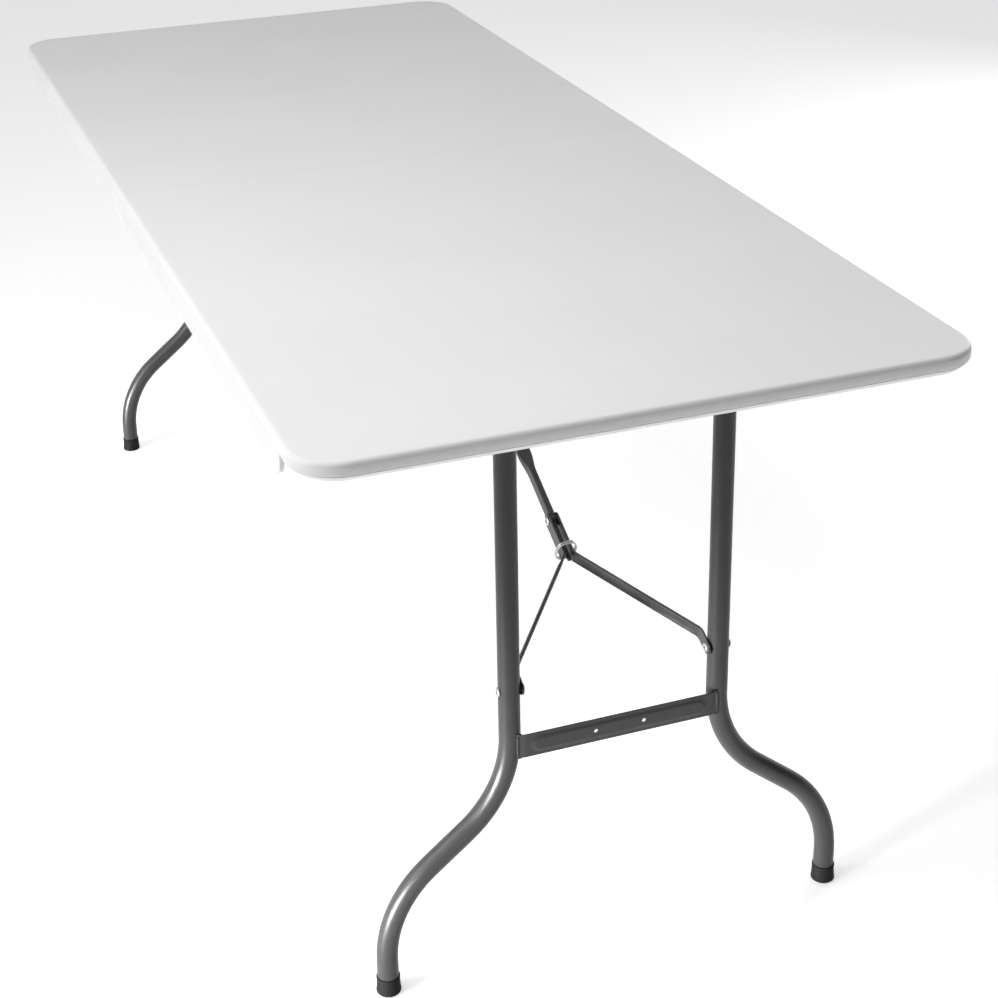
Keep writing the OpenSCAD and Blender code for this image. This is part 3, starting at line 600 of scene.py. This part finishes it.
def make_handle():
    """A moulded bail with a ringed grip, an eye at each end, and two clips with stubs."""
    pivot = joint_place("handle_swing")
    low, high = box_of("carry_handle")
    r = (high.x - low.x) / 2
    y0, y1, z = low.y + r, high.y - r, low.z + r
    corners = [(pivot.x, y0, pivot.z), (pivot.x, y0, z), (pivot.x, y1, z), (pivot.x, y1, pivot.z)]
    bend_steps, grip_steps = 8, 90
    path = rounded([Vector(c) for c in corners], 10 * MM, bend_steps)
    start = bend_steps + 1   # the last point of the first bend
    across = path[start + 1] - path[start]
    grip = [path[start] + across * i / grip_steps for i in range(1, grip_steps)]
    path = path[:start + 1] + grip + path[start + 1:]

    def girth(t):
        ridges = 0.05 * math.sin(t * 150) if 0.3 < t < 0.7 else 0
        return r * (0.94 + ridges)

    bore, edge = 2.6 * MM, 0.5 * MM
    bm = bmesh.new()
    tube(bm, path, girth, X, 16)
    for y in (y0, y1):
        lathe(bm, Vector((pivot.x, y - r, pivot.z)), Y, [
            (0, bore), (0, r - edge), (edge, r),
            (2 * r - edge, r), (2 * r, r - edge), (2 * r, bore),
        ])
    add_piece("near_handle_bail", bm, "handle", "black_plastic", ["carry_handle"])

    low, high = box_of("handle_clips")
    clip_t, clip_drop, stub_r = 6 * MM, 4 * MM, 2.5 * MM
    tip = 2 * r - 0.7 * MM
    bm = bmesh.new()
    for sign, y in ((-1, y0 + r + CLEAR), (1, y1 - r - CLEAR)):
        ys = sorted((y, y - sign * clip_t))
        block(bm, (low.x, ys[0], pivot.z - clip_drop), (high.x, ys[1], high.z), 1 * MM)
        lathe(bm, Vector((pivot.x, y, pivot.z)), sign * Y, [
            (-1 * MM, stub_r), (tip - edge, stub_r), (tip, stub_r - edge),
        ])
    add_piece("near_clips", bm, "near_half", "black_plastic", ["handle_clips"])


def make_latch():
    """Pressed hook on a shoulder rivet, its mount, and the stud that it catches."""
    pivot = joint_place("latch_swing")
    low, high = box_of("latch_hook")
    r, eye, notch = 6 * MM, 7 * MM, 3.5 * MM
    mouth = math.degrees(math.asin(notch / eye))
    end_z = low.z + eye
    y = pivot.y
    points = arc(y, pivot.z, r, 0, 180, 16) + [(y - r, end_z + eye)]
    points += arc(y, end_z, eye, 150, 180 - mouth, 4)
    points += arc(y, end_z, notch, 90, -90, 10)
    points += arc(y, end_z, eye, 180 + mouth, 360 + 30, 20)
    points += [(y + r, end_z + eye)]
    bm = bmesh.new()
    plate(bm, points, low.x, high.x, 0.4 * MM)
    add_piece("near_latch_plate", bm, "latch", "zinc", ["latch_hook"])
    base_low, base_high = box_of("latch_mount")
    head_r, head_h = 4.5 * MM, 1.5 * MM
    for side, replaced in (("near", "latch_mount"), ("far", "latch_stud")):
        bm = bmesh.new()
        block(bm, base_low, (low.x - CLEAR, base_high.y, base_high.z), 1 * MM)
        seat = Vector((high.x + CLEAR, y, pivot.z))
        rivet(bm, seat, X, SHANK_R, high.x - low.x + 3 * CLEAR, head_r, head_h)
        add_piece(side + "_latch_block", bm, side + "_half", "zinc", [replaced])


# ---------------------------------------------------------------- leg frames

LEG_LOW, LEG_HIGH = box_of("near_leg_right")
LEG_Y = (LEG_LOW.y + LEG_HIGH.y) / 2
LEG_R = (LEG_HIGH.y - LEG_LOW.y) / 2
LEG_X = LEG_LOW.x + LEG_R
AXLE = joint_place("near_leg_fold")


def weld(bm, start, end, radius=1.3 * MM):
    """A lumpy bead between two points."""
    count = max(int((end - start).length / (0.5 * MM)), 8)
    points = [start.lerp(end, i / count) for i in range(count + 1)]
    up = Z if abs((end - start).normalized().z) < 0.9 else X
    tube(bm, points, lambda t: radius * lump(t, count), up, 10)


def lump(t, count):
    """The share of a bead's full radius at t: ripples, faded at both ends."""
    fade = min(1.0, 6 * t + 0.2, 6 * (1 - t) + 0.2)
    return fade * (0.86 + 0.14 * abs(math.sin(t * count * 0.55)))


def make_leg_top_welds(side):
    """Beads along the saddle where each leg's top meets the axle tube."""
    low, high = box_of("near_leg_axle")
    r = (high.z - low.z) / 2
    bead, ripples, steps = 1.2 * MM, 60, 40
    bm = bmesh.new()
    for sign in (-1, 1):
        for hand in (-1, 1):
            points = []
            for y, z in arc(0, 0, r, 185, 355, steps):
                x = hand * math.sqrt(LEG_R ** 2 - y ** 2)
                points.append(Vector((sign * LEG_X + x, AXLE.y + y, AXLE.z + z)))
            tube(bm, points, lambda t: bead * lump(t, ripples), X, 8)
    add_piece(side + "_axle_welds", bm, side + "_legs", "frame")


def make_crossbar(side):
    """A pressed strip across the legs: one broad rib with round ends, and two holes."""
    low, high = box_of("near_leg_crossbar")
    thick, depth = 1.5 * MM, 1.45 * MM
    half_l, half_h = high.x - 3.5 * MM, (high.z - low.z) / 2
    tuck = 1.5 * MM     # the ends lean back onto the legs
    tuck_from, tuck_to = half_l - 9 * MM, half_l - 1 * MM
    rib_r, shoulder, rib_end = 12 * MM, 6 * MM, half_l - 26 * MM
    hole_x, hole_r, drill_l = 29.5 * MM, 2.5 * MM, 20 * MM
    bead_gap, bead_r, stub_l, stub_r = 0.4 * MM, 1.6 * MM, 5 * MM, 1.4 * MM
    centre = Vector((0, high.y - thick / 2, (low.z + high.z) / 2))
    rings = []
    count = 168
    for i in range(count + 1):
        x = -half_l + 2 * half_l * i / count
        beyond = max(abs(x) - rib_end, 0)
        back = tuck * smoothstep(tuck_from, tuck_to, abs(x))

        def place(a, b):
            return centre + X * x + Z * a + Y * (back - b)

        def raised(a):
            return depth * smoothstep(0, shoulder, rib_r - math.hypot(beyond, a))

        rings.append(sheet_ring(place, half_h, thick, raised, 30))
    bm = bmesh.new()
    loft(bm, rings)
    drill = bmesh.new()
    for sign in (-1, 1):
        start = centre + X * sign * hole_x + Y * drill_l / 2
        lathe(drill, start, -Y, [(0, hole_r), (drill_l, hole_r)], 32)
    bm = cut(bm, drill)
    for sign in (-1, 1):
        at = centre + Vector((sign * (half_l + bead_gap), tuck, 0))
        weld(bm, at - Z * half_h, at + Z * half_h, bead_r)
        for z in (-half_h, half_h):
            weld(bm, at + Z * z, at + Z * z - X * sign * stub_l, stub_r)
    add_piece(side + "_crossbar", bm, side + "_legs", "frame", [side + "_leg_crossbar"])


def cut(bm, drill):
    """Takes one closed mesh out of another."""
    things = []
    for name, part in (("blank", bm), ("drill", drill)):
        bmesh.ops.recalc_face_normals(part, faces=part.faces)
        mesh = bpy.data.meshes.new(name)
        part.to_mesh(mesh)
        part.free()
        thing = bpy.data.objects.new(name, mesh)
        bpy.context.scene.collection.objects.link(thing)
        things.append(thing)
    blank, tool = things
    modifier = blank.modifiers.new("cut", "BOOLEAN")
    modifier.operation = "DIFFERENCE"
    modifier.solver = "EXACT"
    modifier.object = tool
    graph = bpy.context.evaluated_depsgraph_get()
    done = bmesh.new()
    done.from_mesh(blank.evaluated_get(graph).to_mesh())
    for thing in things:
        mesh = thing.data
        bpy.data.objects.remove(thing)
        bpy.data.meshes.remove(mesh)
    return done


def make_feet(side):
    """Moulded caps: a socket, a rolled lip at the mouth and a flared sole."""
    low, high = box_of("near_foot_right")
    r, h = (high.x - low.x) / 2, high.z - low.z
    floor_t, mouth = 4 * MM, LEG_R + 1 * MM
    sole_round, lip = 1.6 * MM, 0.9 * MM
    profile = [(0, 0), (0, r - 2 * sole_round)]
    profile += [(a, b) for b, a in arc(r - sole_round, sole_round, sole_round, -90, 0, 6)]
    # the step above the sole, then the tapering side
    profile += [(3.4 * MM, r), (3.8 * MM, r - 0.35 * MM), (4.6 * MM, r - 0.4 * MM)]
    profile += [(h - 3.2 * MM, mouth - 0.15 * MM), (h - 2.6 * MM, mouth + 0.35 * MM)]
    profile += [(a, b) for b, a in arc(mouth - 0.5 * MM, h - 1 * MM, lip, 0, 90, 5)]
    profile += [(h, LEG_R), (floor_t, LEG_R), (floor_t, 0)]
    for hand, sign in (("left", -1), ("right", 1)):
        centre = Vector((sign * (low.x + high.x) / 2, (low.y + high.y) / 2, 0))
        bm = bmesh.new()
        lathe(bm, centre, Z, profile, 56)
        add_piece(side + "_cap_" + hand, bm, side + "_legs", "rubber", [side + "_foot_" + hand])


def make_leg_fasteners(side):
    """The outer heads of the leg rivets, and the domed push caps on the axle."""
    low, high = box_of("near_leg_rivets")
    at = Vector((0, LEG_Y, (low.z + high.z) / 2))
    head_h = high.x - LEG_X - LEG_R
    bm = bmesh.new()
    for sign in (-1, 1):
        seat = at + X * sign * (LEG_X + LEG_R)
        rivet(bm, seat, sign * X, SHANK_R, 2 * LEG_R, (high.z - low.z) / 2, head_h)
    add_piece(side + "_leg_rivet_heads", bm, side + "_legs", "zinc", [side + "_leg_rivets"])

    low, high = box_of("near_axle_caps")
    r = (high.z - low.z) / 2
    inner = high.x - 1.2 * MM
    rim = [(0, r - 2 * MM), (0, r), (0.6 * MM, r), (0.9 * MM, r - 0.6 * MM)]
    dome = [(0.9 * MM, r - 1.6 * MM), (1.7 * MM, r - 1.9 * MM), (2.2 * MM, r - 3 * MM)]
    dome += [(2.35 * MM, r - 6 * MM), (2.35 * MM, 0)]
    bm = bmesh.new()
    for sign in (-1, 1):
        lathe(bm, Vector((sign * inner, AXLE.y, AXLE.z)), sign * X, rim + dome, 56)
    add_piece(side + "_push_caps", bm, side + "_legs", "zinc", [side + "_axle_caps"])


# ---------------------------------------------------------------- folding brace

ARM_PIN = joint_place("near_arm_turn")
ELBOW = joint_place("near_fork_turn")
DOWN = (ELBOW - ARM_PIN).normalized()
OUT = X.cross(-DOWN).normalized()
ARM_L = (ELBOW - ARM_PIN).length
RIVET_Z = sum(c.z for c in box_of("near_leg_rivets")) / 2
LEG_RIVET = Vector((0, LEG_Y, RIVET_Z))
FORK_L = (ELBOW - LEG_RIVET).length
FORK_T = 2.6 * MM


def on_arm(x, down, out):
    """A place in the brace's own frame: across, down from the arm's pin, and out of its plane."""
    return ARM_PIN + X * x + DOWN * down + OUT * out


def make_fork(side):
    """Two pressed strips that run side by side at the elbow and spread to the legs."""
    low, high = box_of("near_fork_right")
    half, least = 9 * MM, 0.15 * MM
    x_top, x_foot = low.x + FORK_T / 2, high.x - FORK_T / 2
    foot, neck, bend = 20 * MM, 54 * MM, 13 * MM
    rib_h, rib_half, rib_side = 1.5 * MM, 7.5 * MM, 5 * MM
    corners = [(x_foot, -half), (x_foot, foot), (x_top, FORK_L - neck), (x_top, FORK_L + half)]
    path = evenly(rounded([Vector((x, up, 0)) for x, up in corners], bend), 2 * MM, half)
    total = sum((b - a).length for a, b in zip(path, path[1:]))
    for hand, sign in (("left", -1), ("right", 1)):
        bm, rings, gone = bmesh.new(), [], 0.0
        for i, p in enumerate(path):
            if i:
                gone += (p - path[i - 1]).length
            ahead = (path[min(i + 1, len(path) - 1)] - path[max(i - 1, 0)]).normalized()
            away = Vector((ahead.y, -ahead.x, 0))
            end = min(gone, total - gone)
            wide = half
            if end < half:   # the round ends
                wide = max(math.sqrt(max(half ** 2 - (half - end) ** 2, 0)), least)
            rise = rib_h * smoothstep(foot + 4 * MM, foot + 20 * MM, gone)
            rise *= 1 - smoothstep(total - neck - 28 * MM, total - neck - 12 * MM, gone)

            def place(a, b):
                q = p + away * b
                return on_arm(sign * q.x, ARM_L + FORK_L - q.y, a)

            def raised(a):
                return rise * smoothstep(0, rib_side, rib_half - abs(a))

            rings.append(sheet_ring(place, wide, FORK_T, raised))
        loft(bm, rings)
        name, replaced = side + "_fork_strip_" + hand, side + "_fork_" + hand
        add_piece(name, bm, side + "_fork", "frame", [replaced])


def evenly(path, step, end_r):
    """The same path with points about one step apart, and closer over its two round ends."""
    shares = (0.15, 0.3, 0.45, 0.6, 0.75, 0.9)
    out = []
    last = len(path) - 2
    for i, (a, b) in enumerate(zip(path, path[1:])):
        length = (b - a).length
        count = max(int(length / step), 1)
        for k in range(count):
            out.append(a.lerp(b, k / count))
        if i == 0:
            ends = [a.lerp(b, t * t * end_r / length) for t in shares]
            out = [a] + ends + [q for q in out if (q - a).length > end_r]
        if i == last:
            ends = [b.lerp(a, t * t * end_r / length) for t in reversed(shares)]
            out = [q for q in out if (b - q).length > end_r] + ends + [b]
    return out


def channel_ring(down, wide, deep, thick):
    """Section of the arm: a U with round shoulders, open on its lower side."""
    bend = min(2 * MM, 0.3 * deep)
    small = max(bend - thick, 0.3 * MM)
    w, h = wide / 2, deep / 2
    section = [(-w, -h)] + arc(-w + bend, h - bend, bend, 180, 90, 4)
    section += arc(w - bend, h - bend, bend, 90, 0, 4) + [(w, -h)]
    w, h = w - thick, h - thick
    section += [(w, -deep / 2)] + arc(w - small, h - small, small, 0, 90, 4)
    section += arc(-w + small, h - small, small, 90, 180, 4) + [(-w, -deep / 2)]
    return [on_arm(x, down, z) for x, z in section]


def make_arm(side):
    """The upper arm: knuckle, flat channel, waist, deep narrow channel and a stop tail."""
    thick = 1.5 * MM
    flat, narrow = (17 * MM, 6 * MM), (7.6 * MM, 14 * MM)   # width and depth
    top, waist, taper = 8 * MM, ARM_L - 102 * MM, 30 * MM
    knuckle_r, bore_r, edge = 7 * MM, 3.1 * MM, 0.6 * MM
    bm = bmesh.new()
    rings = [channel_ring(top, *flat, thick)]
    count = 24
    for i in range(count + 1):
        mix = smoothstep(0, 1, i / count)
        size = [a + (b - a) * mix for a, b in zip(flat, narrow)]
        rings.append(channel_ring(waist + taper * i / count, *size, thick))
    rings.append(channel_ring(ARM_L - 5 * MM, *narrow, thick))
    loft(bm, rings)
    for centre, wide in ((0, flat[0]), (ARM_L, narrow[0])):
        lathe(bm, on_arm(-wide / 2, centre, 0), X, [
            (0, bore_r), (0, knuckle_r - edge), (edge, knuckle_r),
            (wide - edge, knuckle_r), (wide, knuckle_r - edge), (wide, bore_r),
        ], 48)
    bar(bm, 4 * MM, 12 * MM, flat[0] - 1 * MM, 5 * MM)
    bar(bm, ARM_L + 4 * MM, ARM_L + 60 * MM, 3 * MM, 8 * MM, round_end=True)
    add_piece(side + "_upper_arm", bm, side + "_arm", "frame", [side + "_brace_arm"])


def bar(bm, start, end, wide, deep, round_end=False):
    """A flat bar down the brace, wide across X and deep out of the brace's plane."""
    length, edge = end - start, 0.6 * MM
    lanes = [0, edge, length - edge, length]
    depth = [deep - 2 * edge, deep, deep, deep - 2 * edge]
    if round_end:
        lanes, depth, steps = [0], [deep], 8
        for i in range(steps + 1):
            a = math.radians(90 * i / steps)
            lanes.append(length - deep / 2 + deep / 2 * math.sin(a))
            depth.append(max(deep * math.cos(a), 0.3 * MM))
    rings = []
    for along, d in zip(lanes, depth):
        w, h = wide / 2, d / 2
        c = min(0.4 * MM, h * 0.5)
        section = [(-w + c, -h), (w - c, -h), (w, -h + c), (w, h - c)]
        section += [(w - c, h), (-w + c, h), (-w, h - c), (-w, -h + c)]
        rings.append([on_arm(x, start + along, z) for x, z in section])
    loft(bm, rings)


def make_brace_fasteners(side):
    """The inner heads of the leg rivets, and the rivet through the elbow."""
    low, high = box_of("near_fork_rivets")
    x_in = high.x - FORK_T
    head_r, head_h = (high.z - low.z) / 2, 2.2 * MM
    bm = bmesh.new()
    for sign in (-1, 1):
        rivet(bm, LEG_RIVET + X * sign * x_in, -sign * X, SHANK_R, FORK_T, head_r, head_h)
    add_piece(side + "_fork_rivet_heads", bm, side + "_fork", "zinc", [side + "_fork_rivets"])

    low, high = box_of("near_elbow_pin")
    head_h = 2 * MM
    bm = bmesh.new()
    for sign in (-1, 1):
        seat = ELBOW + X * sign * (high.x - head_h)
        rivet(bm, seat, sign * X, SHANK_R, high.x - head_h, (high.z - low.z) / 2, head_h)
    add_piece(side + "_elbow_rivet", bm, side + "_fork", "zinc", [side + "_elbow_pin"])


def make_ring(side):
    """The lock ring: one length of sprung wire wound in two turns round the joint."""
    wire, pitch, lean = 1.1 * MM, 2.6 * MM, 0.07
    half_w, half_h = 10.7 * MM + wire, 14.8 * MM + wire
    squareness, count, turns, start = 2.7, 180, 2, 0.9
    centre = ARM_L + 45 * MM
    points = []
    for i in range(count + 1):
        a = 2 * math.pi * turns * i / count + start
        c, d = math.cos(a), math.sin(a)
        x = half_w * math.copysign(abs(c) ** (2 / squareness), c)
        z = half_h * math.copysign(abs(d) ** (2 / squareness), d)
        drift = pitch * (turns * i / count - turns / 2)
        points.append(on_arm(x, centre + drift + lean * z, z))

    def taper(t):
        return wire * min(1, 0.4 + 30 * t, 0.4 + 30 * (1 - t))

    bm = bmesh.new()
    tube(bm, points, taper, DOWN)
    add_piece(side + "_wire_ring", bm, side + "_ring", "zinc", [side + "_lock_ring"])


for half in ("near", "far"):
    make_top(half)
    make_rails(half)
    make_screws(half)
    make_brace_mount(half)
    make_leg_top_welds(half)
    make_crossbar(half)
    make_feet(half)
    make_leg_fasteners(half)
    make_fork(half)
    make_arm(half)
    make_brace_fasteners(half)
    make_ring(half)
make_hinges()
make_handle()
make_latch()


# ---------------------------------------------------------------- stage, lights, camera

def make_floor():
    """A wide white sheet that glows a little, as a lit studio floor does."""
    mesh = bpy.data.meshes.new("floor")
    bm = bmesh.new()
    half_width, glow = 14.0, 0.42
    bmesh.ops.create_grid(bm, x_segments=2, y_segments=2, size=half_width)
    bm.to_mesh(mesh)
    bm.free()
    floor = bpy.data.objects.new("floor", mesh)
    bpy.context.scene.collection.objects.link(floor)
    mat, tree, bsdf, where = new_material("studio_floor")
    tree.links.new(
        ramp(tree, noise(tree, where, 1.5, 2.0), [(0.3, grey(0.90)), (0.7, grey(0.92))]),
        bsdf.inputs["Base Color"],
    )
    bsdf.inputs["Roughness"].default_value = 0.9
    bsdf.inputs["Specular IOR Level"].default_value = 0.1
    bsdf.inputs["Emission Color"].default_value = (1, 1, 1, 1)
    bsdf.inputs["Emission Strength"].default_value = glow
    mesh.materials.append(mat)


def area_light(name, location, target, size, power, spread=180):
    """A soft box in metres, watts and degrees that the camera doesn't see."""
    data = bpy.data.lights.new(name, "AREA")
    data.shape = "RECTANGLE"
    data.size, data.size_y = size
    data.energy = power
    data.spread = math.radians(spread)
    lamp = bpy.data.objects.new(name, data)
    lamp.location = location
    lamp.visible_camera = False
    lamp.rotation_euler = (Vector(target) - Vector(location)).to_track_quat("-Z", "Y").to_euler()
    bpy.context.scene.collection.objects.link(lamp)


def make_world():
    """A pale studio that is dark in front of the table and bright behind it."""
    world = bpy.data.worlds.new("studio")
    world.use_nodes = True
    tree = world.node_tree
    where = tree.nodes.new("ShaderNodeTexCoord")
    axes = tree.nodes.new("ShaderNodeSeparateXYZ")
    tree.links.new(where.outputs["Generated"], axes.inputs["Vector"])
    behind = {"From Min": -0.7, "From Max": 1.0, "To Min": 0.0, "To Max": 0.8}
    side = node(tree, "ShaderNodeMapRange", behind)
    side.interpolation_type = "SMOOTHSTEP"
    background = tree.nodes["Background"]
    background.inputs["Color"].default_value = (1, 1, 1, 1)
    tree.links.new(axes.outputs["Y"], side.inputs["Value"])
    tree.links.new(side.outputs["Result"], background.inputs["Strength"])
    bpy.context.scene.world = world
    bpy.context.scene.view_settings.view_transform = "Standard"


def make_camera():
    """The camera stands off the near left corner, above the top, and looks along the table."""
    place = (-0.7787, -2.5566, 1.5746)
    yaw, pitch, roll = (math.radians(a) for a in (19.6, 23.43, 1.23))
    lens, shift = 72.27, (0.0125, -0.1293)
    forward = Vector((
        math.sin(yaw) * math.cos(pitch),
        math.cos(yaw) * math.cos(pitch),
        -math.sin(pitch),
    ))
    level = Vector((math.cos(yaw), -math.sin(yaw), 0))
    down = forward.cross(level)
    right = math.cos(roll) * level + math.sin(roll) * down
    down = -math.sin(roll) * level + math.cos(roll) * down
    turn = Matrix((right, -down, -forward)).transposed().to_4x4()
    data = bpy.data.cameras.new("camera")
    data.sensor_width = 36.0
    data.lens = lens
    data.shift_x, data.shift_y = shift
    camera = bpy.data.objects.new("camera", data)
    camera.matrix_world = Matrix.Translation(place) @ turn
    bpy.context.scene.collection.objects.link(camera)
    bpy.context.scene.camera = camera


make_floor()
make_world()
area_light("key", (-3.2, -0.45, 2.2), (0, -0.6, 0.5), (1.2, 2.2), 55)
area_light("top", (-0.7, -0.7, 2.3), (-0.3, -0.6, 0.7), (1.4, 0.9), 17)
area_light("rim", (3.2, 1.4, 1.4), (0.2, -0.6, 0.4), (0.8, 2.2), 34)
area_light("low", (-2.3, -1.5, 0.12), (0, -0.7, 0.12), (0.5, 0.3), 4.2, spread=18)
area_light("low_far", (-2.3, 0.1, 0.12), (-0.28, 0.8, 0.14), (0.5, 0.3), 2.6, spread=18)
make_camera()
